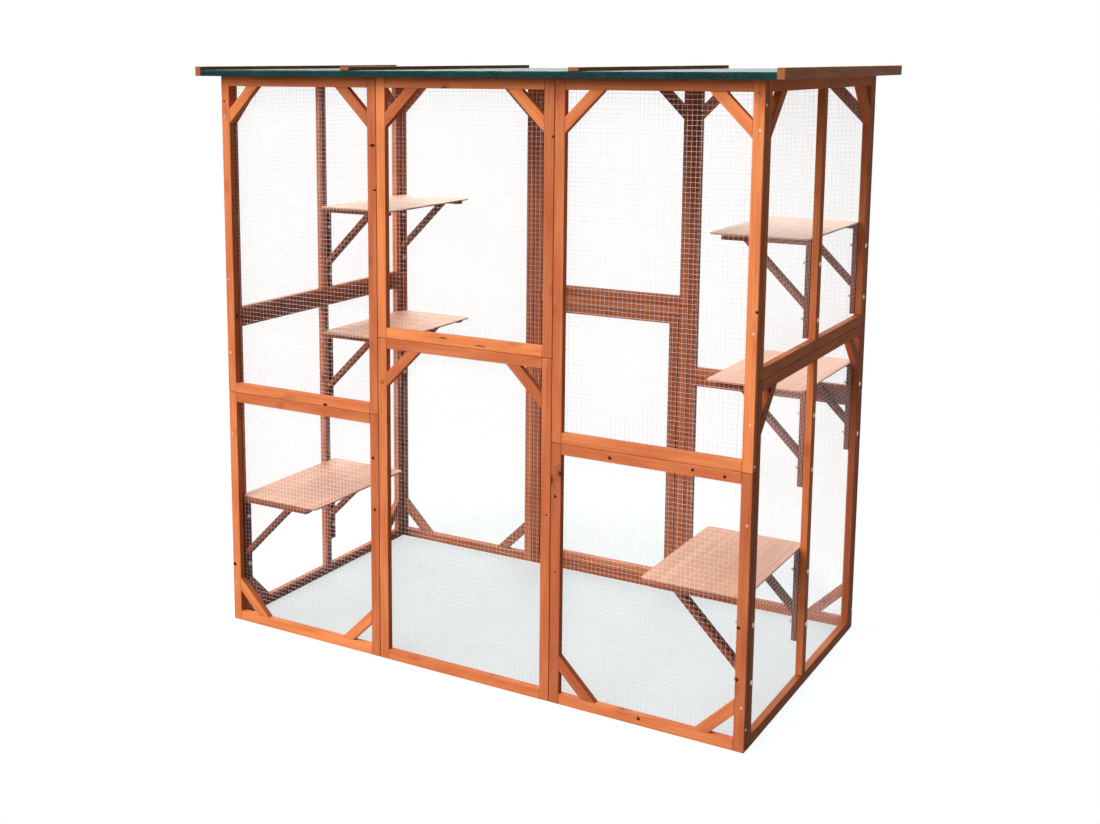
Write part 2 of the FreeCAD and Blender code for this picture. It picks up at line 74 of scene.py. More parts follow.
class Flow:
    # wraps an output socket, so that sums and products of sockets make Math nodes
    def __init__(self, tree, socket):
        self.tree = tree
        self.socket = socket

    __add__, __radd__ = operators("ADD")
    __sub__, __rsub__ = operators("SUBTRACT")
    __mul__, __rmul__ = operators("MULTIPLY")
    __truediv__, __rtruediv__ = operators("DIVIDE")

    def maths(self, operation, *others):
        return addNode(self.tree, "ShaderNodeMath", (self, *others), operation=operation)

    def vector(self, operation, *others):
        output = "Value" if operation in ("LENGTH", "DOT_PRODUCT") else "Vector"
        return addNode(self.tree, "ShaderNodeVectorMath", (self, *others), output, operation=operation)

    def scaled(self, factors):
        return self.vector("MULTIPLY", factors)

    def part(self, axis):
        return addNode(self.tree, "ShaderNodeSeparateXYZ", (self,), axis)

    # 0 below low and 1 above high, smooth in between; low may be the larger one
    def step(self, low, high):
        flipped = low > high
        values = (self, min(low, high), max(low, high), float(flipped), float(not flipped))
        return addNode(self.tree, "ShaderNodeMapRange", values, interpolation_type="SMOOTHSTEP")


class Shader:
    # one material: its textures, its colour mixes and the Principled surface at the end
    def __init__(self, name, metallic=0.0):
        self.material = bpy.data.materials.new(name)
        self.material.use_nodes = True
        self.tree = self.material.node_tree
        self.surface = self.tree.nodes["Principled BSDF"]
        self.set(Metallic=metallic)

    def objectPlace(self):
        return addNode(self.tree, "ShaderNodeTexCoord", output="Object")

    def attribute(self, name, output="Fac"):
        return addNode(self.tree, "ShaderNodeAttribute", output=output, attribute_name=name)

    def noise(self, place, scale=1.0, detail=3.0, roughness=0.55, distortion=0.0):
        values = {"Vector": place, "Scale": scale, "Detail": detail, "Roughness": roughness,
                  "Distortion": distortion}
        return addNode(self.tree, "ShaderNodeTexNoise", values, "Fac")

    def cells(self, place, scale=1.0, output="Color"):
        return addNode(self.tree, "ShaderNodeTexVoronoi", {"Vector": place, "Scale": scale}, output)

    def colour(self, amount, first, second, blend="MIX"):
        first, second = (value if isinstance(value, Flow) else (*value, 1.0) for value in (first, second))
        return addNode(self.tree, "ShaderNodeMix", {0: amount, 6: first, 7: second}, 2,
                       data_type="RGBA", blend_type=blend)

    def bump(self, height, distance, strength=1.0):
        values = {"Height": height, "Distance": distance, "Strength": strength}
        self.set(Normal=addNode(self.tree, "ShaderNodeBump", values))

    def set(self, **values):
        for name, value in values.items():
            if name == "Base_Color" and isinstance(value, tuple):
                value = (*value, 1.0)
            connect(self.tree, self.surface.inputs[name.replace("_", " ")], value)
        return self.material


# Wood. Every board carries its own grain space: X along the fibres, in metres.

stain = dict(
    pale=(0.71, 0.218, 0.076), middle=(0.59, 0.152, 0.050), deep=(0.30, 0.060, 0.020),
    knot=(0.060, 0.016, 0.009), endGrain=(0.26, 0.075, 0.032), gloss=0.14, tintSpread=0.50,
    ringSpacing=0.0058, ringDepth=0.17, knotCell=(0.21, 0.042, 0.042), knotChance=(0.60, 0.64),
    knotStretch=(0.62, 1.0, 1.0), knotEdge=(0.0074, 0.0052), haloEdge=(0.022, 0.005),
    ragged=0.0022, ringWander=0.016, ringPush=0.006, fibreScale=(14.0, 900.0, 900.0),
    streakScale=(3.0, 120.0, 120.0), cloudScale=(5.0, 26.0, 26.0), reliefDepth=0.0006,
)
# a darker, less glossy copy of the stain for the back and left walls and the door: painted shade, where the
# roof keeps light off them
paintedShadeStain = dict(stain, gloss=0.06, pale=(0.56, 0.17, 0.065), middle=(0.45, 0.115, 0.042),
                 deep=(0.22, 0.045, 0.017))
# a much darker copy again for the shelf brackets: painted shade under the roof
paintedShadeBracketStain = dict(paintedShadeStain, pale=(0.28, 0.074, 0.036), middle=(0.21, 0.052, 0.026),
                    deep=(0.11, 0.026, 0.014))
roofStain = dict(stain, pale=(0.62, 0.25, 0.13), middle=(0.50, 0.17, 0.08))


def woodMaterial(name, look):
    shade = Shader(name)
    grain = shade.attribute("grainSpace", "Vector")
    tint, endFace = shade.attribute("boardTint"), shade.attribute("endFace")
    # knots: rare points in the log, seen where a face passes close to one
    cell = look["knotCell"]
    cellPlace = grain.scaled(tuple(1 / size for size in cell))
    away = shade.cells(cellPlace, output="Position").vector("SUBTRACT", cellPlace).scaled(cell)
    distance = away.scaled(look["knotStretch"]).vector("LENGTH")
    chosen = shade.cells(cellPlace).part("X").step(*look["knotChance"])
    ragged = shade.noise(grain, 420.0, 2.0) * look["ragged"]
    knot = (distance + ragged).step(*look["knotEdge"]) * chosen
    halo = distance.step(*look["haloEdge"]) * chosen
    # growth rings round a pith that lies outside the board, pushed aside by the knots
    wander = shade.noise(grain.scaled((2.2, 14.0, 14.0)), detail=2.0) * look["ringWander"]
    radius = grain.scaled((0.0, 1.0, 1.0)).vector("LENGTH") + wander + halo * look["ringPush"]
    ring = (radius / look["ringSpacing"]).maths("FRACT")
    late = ring.step(0.35, 0.92) * ring.step(1.0, 0.93)
    # long fibres and broad bands of a stain that soaked in unevenly
    fibres = shade.noise(grain.scaled(look["fibreScale"]), roughness=0.65)
    streaks = shade.noise(grain.scaled(look["streakScale"]), roughness=0.6)
    clouds = shade.noise(grain.scaled(look["cloudScale"]), detail=2.0, roughness=0.5)
    body = shade.colour(clouds.step(0.30, 0.72), look["middle"], look["pale"])
    for amount, tone in ((streaks.step(0.50, 0.82) * 0.34, "deep"), (late * look["ringDepth"], "deep"),
                         (fibres.step(0.60, 0.86) * 0.24, "deep"), (halo * 0.45, "deep"),
                         (knot * 0.92, "knot"), (endFace * 0.75, "endGrain")):
        body = shade.colour(amount, body, look[tone])
    level = tint * look["tintSpread"] + (1.0 - look["tintSpread"] * 0.55)
    # a darker board is a redder one too
    level = addNode(shade.tree, "ShaderNodeCombineColor", (level, level * (tint * 0.14 + 0.92), level))
    body = shade.colour(1.0, body, level, "MULTIPLY")
    relief = fibres * 0.35 + late * 0.35 + streaks * 0.3 - knot * 0.6
    shade.bump(relief, look["reliefDepth"], 0.7)
    roughness = 0.56 + fibres * 0.22 + endFace * 0.2 - knot * 0.12
    return shade.set(Base_Color=body, Roughness=roughness, Specular_IOR_Level=look["gloss"])


# Pale plywood of the shelves, with its plies at the edges

plyLook = dict(face=(0.75, 0.39, 0.24), faceDark=(0.58, 0.27, 0.15), edge=(0.36, 0.14, 0.07),
               plySpacing=0.0017, reliefDepth=0.0003)
# a paler copy for the upper shelves: painted light, making up for the roof's shade on them
paintedLightPly = dict(plyLook, face=(0.92, 0.62, 0.45), faceDark=(0.78, 0.46, 0.31))


def plyMaterial(name, look):
    shade = Shader(name)
    grain = shade.attribute("grainSpace", "Vector")
    endFace = shade.attribute("endFace")
    wander = shade.noise(grain.scaled((1.6, 9.0, 9.0)), detail=2.0)
    figure = shade.noise(grain.scaled((2.0, 70.0, 70.0)), 1.0, 4.0, 0.6, 0.4)
    pores = shade.noise(grain.scaled((60.0, 1500.0, 1500.0)), 1.0, 2.0, 0.6)
    body = shade.colour((figure * 0.7 + wander * 0.3).step(0.34, 0.70), look["face"], look["faceDark"])
    body = shade.colour(pores.step(0.58, 0.80) * 0.3, body, look["faceDark"])
    layer = (grain.part("Z") / look["plySpacing"]).maths("FRACT").step(0.40, 0.55)
    body = shade.colour(endFace * (0.35 + layer * 0.5), body, look["edge"])
    shade.bump(figure * 0.4 + pores * 0.6, look["reliefDepth"], 0.5)
    return shade.set(Base_Color=body, Roughness=0.55 + pores * 0.2)


# Mineral felt on the roof: the tones below are for its sides and for its top; the paler top tones are
# painted light, the sheen of the sky along the roof

feltLook = dict(
    dark=((0.003, 0.020, 0.021), (0.008, 0.052, 0.048)), grainScale=720.0,
    green=((0.005, 0.036, 0.035), (0.018, 0.090, 0.080)), reliefDepth=0.0009,
    grit=((0.034, 0.165, 0.145), (0.070, 0.260, 0.220)), topLevel=1.7176, topDull=0.22,
    coat=0.85, coatRoughness=0.22, coatIndex=1.15,
)


def feltMaterial(name, look):
    shade = Shader(name)
    place = shade.objectPlace()
    grains = shade.cells(place, look["grainScale"]).vector("DOT_PRODUCT", (0.6, 0.3, 0.1))
    patches = shade.noise(place, 9.0, 4.0, 0.6)
    # above this level the felt takes the paler top tones: painted light
    top = place.part("Z").step(look["topLevel"] - 0.0006, look["topLevel"])
    dark, green, grit = (shade.colour(top, *look[tone]) for tone in ("dark", "green", "grit"))
    body = shade.colour(patches.step(0.35, 0.70), dark, green)
    body = shade.colour(grains.step(0.55, 0.85) * 0.55, body, grit)
    shade.bump(grains * 0.6 + shade.noise(place, 240.0) * 0.4, look["reliefDepth"])
    # the grit shines only where it is seen along the roof
    shade.set(Specular_IOR_Level=0.0, Coat_Weight=look["coat"] - top * look["topDull"],
              Coat_Roughness=look["coatRoughness"], Coat_IOR=look["coatIndex"])
    return shade.set(Base_Color=body, Roughness=0.70 + patches * 0.15)


# Zinc-plated steel of the wire, the bolts and the ironwork

def zincMaterial(name, pale, dull, roughness, metallic, spangle):
    shade = Shader(name, metallic)
    place = shade.objectPlace()
    flakes = shade.cells(place, spangle).vector("DOT_PRODUCT", (0.5, 0.3, 0.2))
    stains = shade.noise(place, 35.0, 4.0, 0.6)
    body = shade.colour(flakes * 0.5 + stains.step(0.45, 0.75) * 0.5, pale, dull)
    shade.bump(shade.noise(place.scaled((1.0, 1.0, 9.0)), 900.0, 2.0), 0.0001, 0.4)
    return shade.set(Base_Color=body, Roughness=roughness + stains * 0.22 + flakes * 0.06)


deckLook = dict(pale=(0.42, 0.24, 0.12), brown=(0.28, 0.14, 0.065), blotch=(0.20, 0.10, 0.05))


def deckMaterial(name, look):
    shade = Shader(name)
    place = shade.objectPlace()
    figure = shade.noise(place.scaled((2.0, 40.0, 200.0)), 1.0, 4.0, 0.6, 0.5)
    blotch = shade.noise(place, 6.0)
    body = shade.colour(figure.step(0.30, 0.75), look["pale"], look["brown"])
    body = shade.colour(blotch.step(0.5, 0.8) * 0.4, body, look["blotch"])
    shade.bump(figure, 0.0004, 0.5)
    return shade.set(Base_Color=body, Roughness=0.7 + blotch * 0.15)


timberMaterial = woodMaterial("StainedTimber", stain)
paintedShadeTimberMaterial = woodMaterial("PaintedShadeTimber", paintedShadeStain)
paintedShadeBracketMaterial = woodMaterial("PaintedShadeBracketTimber", paintedShadeBracketStain)
roofTimberMaterial = woodMaterial("RoofTimber", roofStain)
shelfMaterial = plyMaterial("ShelfPly", plyLook)
paintedLightShelfMaterial = plyMaterial("PaleShelfPly", paintedLightPly)
roofFeltMaterial = feltMaterial("RoofFelt", feltLook)
deckBoardMaterial = deckMaterial("DeckBoard", deckLook)
wireMaterial = zincMaterial("WeldedWire", (0.84, 0.79, 0.77), (0.69, 0.64, 0.62), 0.50, 1.0, 600.0)
boltMaterial = zincMaterial("BoltSteel", (0.54, 0.52, 0.50), (0.34, 0.32, 0.31), 0.32, 0.9, 900.0)
hingeMaterial = zincMaterial("HingeSteel", (0.50, 0.50, 0.52), (0.34, 0.34, 0.36), 0.32, 0.95, 500.0)
latchMaterial = zincMaterial("LatchSteel", (0.56, 0.56, 0.58), (0.38, 0.38, 0.40), 0.28, 0.95, 500.0)
print("materials made")


# Meshes: outlines given thickness, profiles spun round an axis, and how they become pieces

def placed(name, data):
    made = bpy.data.objects.new(name, data)
    bpy.context.scene.collection.objects.link(made)
    return made


def addPiece(name, mesh, material, slot, body, *nodes):
    mesh.materials.clear()
    mesh.materials.append(material)
    mesh.validate()
    piece = placed(name, mesh)
    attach(piece, body)
    if nodes:
        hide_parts(*nodes)


def meshOf(work, name):
    mesh = bpy.data.meshes.new(name)
    work.to_mesh(mesh)
    work.free()
    return mesh


def closeMesh(work, name, material, slot, body, *nodes, sharpAngle=35):
    mesh = meshOf(work, name)
    mesh.shade_smooth()
    addPiece(name, mesh, material, slot, body, *nodes)
    if sharpAngle:
        mesh.set_sharp_from_angle(angle=math.radians(sharpAngle))


def addWork(target, work, spot=(0, 0, 0), turn=Matrix.Identity(4)):
    mesh = bpy.data.meshes.new("part")
    work.to_mesh(mesh)
    mesh.transform(Matrix.Translation(spot) @ turn)
    target.from_mesh(mesh)
    bpy.data.meshes.remove(mesh)


def recalculate(work):
    bmesh.ops.recalc_face_normals(work, faces=work.faces[:])


def prism(outline, thickness, ease=0.0, profile=0.6):
    work = bmesh.new()
    low, high = ([work.verts.new((x, y, z)) for x, y in outline] for z in (0.0, thickness))
    work.faces.new(low[::-1])
    work.faces.new(high)
    for index in range(len(outline)):
        other = (index + 1) % len(outline)
        work.faces.new((low[index], low[other], high[other], high[index]))
    recalculate(work)
    if ease:
        bmesh.ops.bevel(work, geom=work.edges[:], offset=ease, segments=2, profile=profile,
                        affect="EDGES", clamp_overlap=True)
    return work


def skin(work, rings):
    # joins each ring of points to the next one; a ring of one point is a tip
    for first, second in zip(rings, rings[1:]):
        count = max(len(first), len(second))
        for step in range(count):
            other = (step + 1) % count
            corners = (first[step % len(first)], second[step % len(second)],
                       second[other % len(second)], first[other % len(first)])
            work.faces.new(list(dict.fromkeys(corners)))


def arc(radius, angles):
    return [(radius * math.cos(angle), radius * math.sin(angle)) for angle in angles]


def circle(radius, steps):
    return arc(radius, [2 * math.pi * step / steps for step in range(steps)])


def turned(profile, segments=24):
    # a profile of (distance along, radius) spun round the X axis, closed at both ends
    work = bmesh.new()
    rings = []
    for along, radius in profile:
        ring = circle(radius, segments if radius else 1)
        rings.append([work.verts.new((along, y, z)) for y, z in ring])
    skin(work, rings)
    recalculate(work)
    return work


def facing(direction, roll=0.0):
    # local +X looks along the direction
    turn = direction.to_track_quat("X", "Z").to_matrix().to_4x4()
    return turn @ Matrix.Rotation(roll, 4, "X")


def axes(x, y, z):
    # the turn that lays local X, Y and Z along these directions
    return Matrix((x, y, z)).transposed().to_4x4()


def rectangle(length, width):
    return [(0, 0), (length, 0), (length, width), (0, width)]


def roundedOutline(length, width, radius, steps=6):
    points = []
    for centreX, centreY, start in ((length - radius, radius, -90), (length - radius, width - radius, 0),
                                    (radius, width - radius, 90), (radius, radius, 180)):
        for step in range(steps + 1):
            angle = math.radians(start + 90 * step / steps)
            points.append((centreX + radius * math.cos(angle), centreY + radius * math.sin(angle)))
    return points


def strut(leg, width):
    # a board cut at 45 degrees at both ends, with legs of this length on its long side
    length = leg * math.sqrt(2)
    return [(0, 0), (length, 0), (length - width, width), (width, width)]


log = dict(length=40, aside=(0.004, 0.03), behind=(0.03, 0.07))


class Pile:
    # gathers boards into one mesh with the attributes that the wood materials read
    def __init__(self, seed):
        self.points, self.faces = [], []
        self.grain, self.tints, self.ends = [], [], []
        self.dice = random.Random(seed)

    def board(self, origin, along, across, through, outline, thickness, ease=0.0015):
        work = prism(outline, thickness, ease, 0.5)
        work.normal_update()
        turn = Matrix((along, across, through)).transposed()
        flipped = turn.determinant() < 0
        # where the board was sawn from the log: the pith lies some way behind its back
        dice = self.dice
        pith = [dice.uniform(0, log["length"])]
        pith += [dice.choice((-1, 1)) * dice.uniform(*log[side]) for side in ("aside", "behind")]
        pith = Vector(pith)
        tint = dice.random()
        first = len(self.points)
        work.verts.index_update()
        for vertex in work.verts:
            self.points.append(origin + turn @ vertex.co)
            self.grain.append(vertex.co + pith)
            self.tints.append(tint)
        for face in work.faces:
            corners = [first + vertex.index for vertex in face.verts]
            self.faces.append(corners[::-1] if flipped else corners)
            self.ends.append(self.endOf(face))
        work.free()

    def endOf(self, face):
        return 1.0 if abs(face.normal.x) > 0.6 else 0.0

    def finish(self, name, material, slot, body, *nodes):
        mesh = bpy.data.meshes.new(name)
        mesh.from_pydata(self.points, [], self.faces)
        flat = [number for place in self.grain for number in place]
        for title, kind, domain, values in (("grainSpace", "FLOAT_VECTOR", "POINT", flat),
                                            ("boardTint", "FLOAT", "POINT", self.tints),
                                            ("endFace", "FLOAT", "FACE", self.ends)):
            layer = mesh.attributes.new(title, kind, domain)
            layer.data.foreach_set("vector" if kind == "FLOAT_VECTOR" else "value", values)
        addPiece(name, mesh, material, slot, body, *nodes)


class PlyPile(Pile):
    # a sheet shows its plies on every edge, not only across the fibres
    def endOf(self, face):
        return 1.0 if abs(face.normal.z) < 0.6 else 0.0


# Walls

walls = dict(
    bayWidth=0.560, depth=0.960, tall=0.964, short=0.736, joint=0.0006,
    face=0.030, thickness=0.020, brace=0.110, net=0.0012, shrunk=0.0005,
)
panelWidth = walls["bayWidth"] - walls["joint"]
sideWidth = walls["depth"] - 2 * walls["thickness"] - walls["joint"]
halfWidth = walls["bayWidth"] * 1.5
halfDepth = walls["depth"] / 2
wallTop = walls["tall"] + walls["short"]
bays = {"left": -1, "centre": 0, "right": 1}
doorway = "back_centre_lower"


def wallPanels():
    # the first words of each panel's name, its wall, bay, base, height and width, and its braced end
    panels = []
    for wall in ("front", "back"):
        for bay in bays:
            split = walls["tall"] if bay == "centre" else walls["short"]
            name = "%s_%s_" % (wall, bay)
            braced = "top" if bay == "centre" else "bottom"
            panels.append((name + "lower", wall, bay, 0.0, split, panelWidth,
                           None if name + "lower" == doorway else braced))
            panels.append((name + "upper", wall, bay, split, wallTop - split, panelWidth, "top"))
    for wall, braced in (("left", "bottom"), ("right", "top")):
        panels.append((wall + "_lower", wall, None, 0.0, walls["tall"], sideWidth, braced))
        panels.append((wall + "_upper", wall, None, walls["tall"], walls["short"], sideWidth, "top"))
    return panels


def wallFrame(wall, bay=None, base=0.0):
    # the lower left corner of a panel seen from outside, and its directions along and in
    if wall in ("front", "back"):
        sign = 1 if wall == "front" else -1
        corner = Vector((bays[bay] * walls["bayWidth"] - sign * panelWidth / 2, -sign * halfDepth, base))
        return corner, xAxis * sign, yAxis * sign
    sign = 1 if wall == "right" else -1
    return Vector((sign * halfWidth, -sign * sideWidth / 2, base)), yAxis * sign, -xAxis * sign


def panelBoards(pile, corner, along, inward, width, height, braced=None, mullion=False, base=None):
    face, deep = walls["face"], walls["thickness"]
    # the timber has dried a little, so that two panels show a dark line where they meet
    dry = walls["shrunk"]
    foot = 0.0 if base == 0.0 else dry
    head = height if base and base + height > wallTop - dry else height - dry

    def at(x, z):
        return corner + along * x + zAxis * z

    for x in (dry, width - face):
        pile.board(at(x, foot), zAxis, along, inward, rectangle(head - foot, face - dry), deep)
    for low, high in ((foot, face), (height - face, head)):
        pile.board(at(face, low), along, zAxis, inward, rectangle(width - 2 * face, high - low), deep)
    if mullion:
        pile.board(at((width - face) / 2, face), zAxis, along, inward,
                   rectangle(height - 2 * face, face), deep)
    if not braced:
        return
    z, signZ = (face, 1) if braced == "bottom" else (height - face, -1)
    for x, signX in ((face, 1), (width - face, -1)):
        run = (-along * signX + zAxis * signZ).normalized()
        cross = (-along * signX - zAxis * signZ).normalized()
        pile.board(at(x + signX * walls["brace"], z), run, cross, inward, strut(walls["brace"], face), deep)


def camel(words):
    first, *rest = words.split("_")
    return first + "".join(word.title() for word in rest)


panels = wallPanels()
for seed, (node, wall, bay, base, height, width, braced) in enumerate(panels, 100):
    pile = Pile(seed)
    panelBoards(pile, *wallFrame(wall, bay, base), width, height, braced, bay is None, base)
    node = "back_door_frame" if node == doorway else node + "_panel"
    # the back and left walls take the darker copy of the stain, which is painted shade
    pile.finish(camel(node), timberMaterial if wall in ("front", "right") else paintedShadeTimberMaterial,
                "stained_timber", "enclosure", node)

door = dict(gap=0.003, hingeInset=0.150, seed=77)
doorWidth = panelWidth - 2 * walls["face"] - 2 * door["gap"]
doorHeight = walls["tall"] - 2 * walls["face"] - 2 * door["gap"]
doorBase = walls["face"] + door["gap"]
doorPlace = Vector((doorWidth / 2, halfDepth, doorBase)), -xAxis, -yAxis
doorPile = Pile(door["seed"])
panelBoards(doorPile, *doorPlace, doorWidth, doorHeight)
# the door takes the darker copy of the stain too: painted shade
doorPile.finish("doorLeaf", paintedShadeTimberMaterial, "stained_timber", "door", "door_leaf")
print("walls and door made")


# Welded wire, laid out by Geometry Nodes and turned into plain meshes

wire = dict(pitch=0.0127, radius=0.00022, lap=0.008, sides=6, pieces=4, waver=0.0016,
            waverScale=7.0, behind=2.3)


def nodeGroup(name, inputs):
    # an empty tree and the sockets of its inputs, each with the name that a modifier knows it by
    tree = bpy.data.node_groups.new(name, "GeometryNodeTree")
    tree.interface.new_socket(name="Geometry", in_out="OUTPUT", socket_type="NodeSocketGeometry")
    names = []
    for title, kind in inputs.items():
        socket = tree.interface.new_socket(name=title, in_out="INPUT", socket_type="NodeSocket" + kind)
        names.append(socket.identifier)
    entry = tree.nodes.new("NodeGroupInput")
    return tree, names, [Flow(tree, entry.outputs[title]) for title in inputs]


def finishTree(tree, shape, material):
    painted = addNode(tree, "GeometryNodeSetMaterial", {"Geometry": shape, "Material": material})
    connect(tree, tree.nodes.new("NodeGroupOutput").inputs[0], painted)


def evaluated(mesh, tree, values):
    # the plain mesh that a tree makes of this one
    holder = placed("holder", mesh)
    modifier = holder.modifiers.new("Nodes", "NODES")
    modifier.node_group = tree
    for name, value in values.items():
        modifier[name] = value
    graph = bpy.context.evaluated_depsgraph_get()
    made = bpy.data.meshes.new_from_object(holder.evaluated_get(graph))
    bpy.data.objects.remove(holder)
    return made


def wireTree():
    sizes = {"Width": "Float", "Height": "Float", "Seed": "Float"}
    tree, names, (width, height, seed) = nodeGroup("WeldedWireNet", sizes)
    pitch, radius = wire["pitch"], wire["radius"]
    join = tree.nodes.new("GeometryNodeJoinGeometry")
    # the two sets of wires cross one behind the other and sink a little into each other
    for upright in (True, False):
        span, length = (width, height) if upright else (height, width)
        rows = (span / pitch).maths("FLOOR")
        margin, half = (span - rows * pitch) / 2.0, length / 2.0
        start = (margin, radius, half) if upright else (half, radius * wire["behind"], margin)
        line = addNode(tree, "GeometryNodeMeshLine", {
            "Count": rows + 1.0, "Start Location": addNode(tree, "ShaderNodeCombineXYZ", start),
            "Offset": (pitch, 0.0, 0.0) if upright else (0.0, 0.0, pitch)}, mode="OFFSET")
        rod = addNode(tree, "GeometryNodeMeshCylinder", {
            "Vertices": wire["sides"], "Side Segments": wire["pieces"], "Radius": radius, "Depth": length})
        rods = addNode(tree, "GeometryNodeInstanceOnPoints", {
            "Points": line, "Instance": rod, "Rotation": (0.0, 0.0 if upright else rightAngle, 0.0)})
        connect(tree, join.inputs[0], rods)
    net = addNode(tree, "GeometryNodeRealizeInstances", (Flow(tree, join.outputs[0]),))
    # a net on a roll is never quite flat or straight
    place = addNode(tree, "GeometryNodeInputPosition")
    noise = addNode(tree, "ShaderNodeTexNoise", {
        "Vector": place, "W": seed, "Scale": wire["waverScale"], "Detail": 1.0}, "Color",
        noise_dimensions="4D")
    shift = noise.vector("SUBTRACT", (0.5, 0.5, 0.5)).scaled((wire["waver"], 0.0, wire["waver"]))
    net = addNode(tree, "GeometryNodeSetPosition", {"Geometry": net, "Offset": shift})
    finishTree(tree, net, wireMaterial)
    return tree, names


netTree, netNames = wireTree()


def netOn(work, corner, along, inward, width, height, seed):
    # lays a net on the inner face of a panel and adds it to the mesh in the making
    inset = walls["face"] - wire["lap"]
    sizes = dict(zip(netNames, (width - 2 * inset, height - 2 * inset, float(seed))))
    made = evaluated(bpy.data.meshes.new("net"), netTree, sizes)
    turn = axes(along, inward, zAxis)
    spot = corner + along * inset + inward * walls["thickness"] + zAxis * inset
    made.transform(Matrix.Translation(spot) @ turn)
    if turn.determinant() < 0:
        made.flip_normals()
    work.from_mesh(made)
    bpy.data.meshes.remove(made)


def makeNets():
    netted = [panel for panel in panels if panel[0] != doorway]
    work = bmesh.new()
    for seed, (node, wall, bay, base, height, width, braced) in enumerate(netted, 1):
        netOn(work, *wallFrame(wall, bay, base), width, height, seed)
    closeMesh(work, "wallNets", wireMaterial, "welded_wire", "enclosure",
              *[panel[0] + "_net" for panel in netted], sharpAngle=None)
    work = bmesh.new()
    netOn(work, *doorPlace, doorWidth, doorHeight, len(netted) + 1)
    closeMesh(work, "doorNet", wireMaterial, "welded_wire", "door", "door_net", sharpAngle=None)


makeNets()
print("nets made")


# Shelves and their brackets

shelves = dict(
    depth=0.285, overhang=0.030, endGap=0.004, wallGap=0.001, thickness=0.005,
    corner=0.015, tops=dict(upper=1.270, middle=0.851, lower=0.402), ease=0.0007,
    arm=0.255, leg=0.255, section=0.015, width=0.030, strut=0.175,
    bracketEase=0.001, boltDrops=(0.050, 0.204), seed=300,
)
netFaceX = halfWidth - walls["thickness"] - walls["net"]
netFaceY = halfDepth - walls["thickness"] - walls["net"]


def bracketStarts(name):
    corner = netFaceY - shelves["width"] if name != "lower" else -netFaceY
    return (-shelves["width"] / 2, corner)


def makeShelves():
    seed = shelves["seed"]
    section, thick, width = shelves["section"], shelves["thickness"], shelves["width"]
    for side, sign in (("left", -1), ("right", 1)):
        inward = -xAxis * sign
        for name, top in shelves["tops"].items():
            length = netFaceY + walls["net"] - shelves["endGap"] + shelves["overhang"]
            back = halfDepth - walls["thickness"] - shelves["endGap"]
            y = back - length if name != "lower" else -back
            pile = PlyPile(seed)
            start = Vector((sign * (netFaceX - shelves["wallGap"]), y, top - thick))
            outline = roundedOutline(length, shelves["depth"], shelves["corner"])
            pile.board(start, yAxis, inward, zAxis, outline, thick, shelves["ease"])
            node = "%s_%s_shelf" % (side, name)
            # the upper shelves take the paler copy of the plywood: painted light
            pile.finish(camel(node), paintedLightShelfMaterial if name == "upper" else shelfMaterial,
                        "shelf_board", "enclosure", node)
            pile = Pile(seed + 1)
            seed += 2
            for y in bracketStarts(name):
                spot = Vector((sign * netFaceX, y, top - thick - section))
                foot = spot + inward * (section + shelves["strut"])
                run, cross = (-inward - zAxis).normalized(), (-inward + zAxis).normalized()
                for place, along, across, outline in (
                        (spot, inward, zAxis, rectangle(shelves["arm"], section)),
                        (spot - zAxis * shelves["leg"], zAxis, inward, rectangle(shelves["leg"], section)),
                        (foot, run, cross, strut(shelves["strut"], section))):
                    pile.board(place, along, across, yAxis, outline, width, shelves["bracketEase"])
            # the brackets take the much darker copy of the stain: painted shade
            pile.finish(camel(node) + "Brackets", paintedShadeBracketMaterial, "bracket_timber", "enclosure",
                        node + "_brackets")


makeShelves()
print("shelves made")


# Roof: felt folded down over the front and back edges, boards at the sides, strips over the seams

roof = dict(
    sideOverhang=0.060, endOverhang=0.045, deck=0.0165, felt=0.0015, seam=0.354,
    joint=0.0006, boardThickness=0.020, boardHeight=0.028, stripWidth=0.030,
    stripHeight=0.010, stripEase=0.001, fold=0.004, foldSteps=4, ripple=0.0007,
    hemShare=0.4, hemDepth=0.003, inset=0.0004, lining=0.0002, columns=48, rows=24,
    waves=6,
)
roofHalfWidth = halfWidth + roof["sideOverhang"]
roofHalfDepth = halfDepth + roof["endOverhang"]
feltTop = wallTop + roof["deck"] + roof["felt"]


def feltProfile(depth, top, radius):
    # the outer line of the felt from the front hem over the deck to the back hem
    points = [(-depth, wallTop + (top - radius - wallTop) * step / 3) for step in (0, 1, 2)]
    for step in range(roof["foldSteps"] + 1):
        angle = math.radians(180 - 90 * step / roof["foldSteps"])
        points.append((-depth + radius + radius * math.cos(angle), top - radius + radius * math.sin(angle)))
    hem, inner = points[::-1], depth - radius
    points += [(-inner + 2 * inner * step / roof["rows"], top) for step in range(1, roof["rows"])]
    return points + [(-y, z) for y, z in hem]


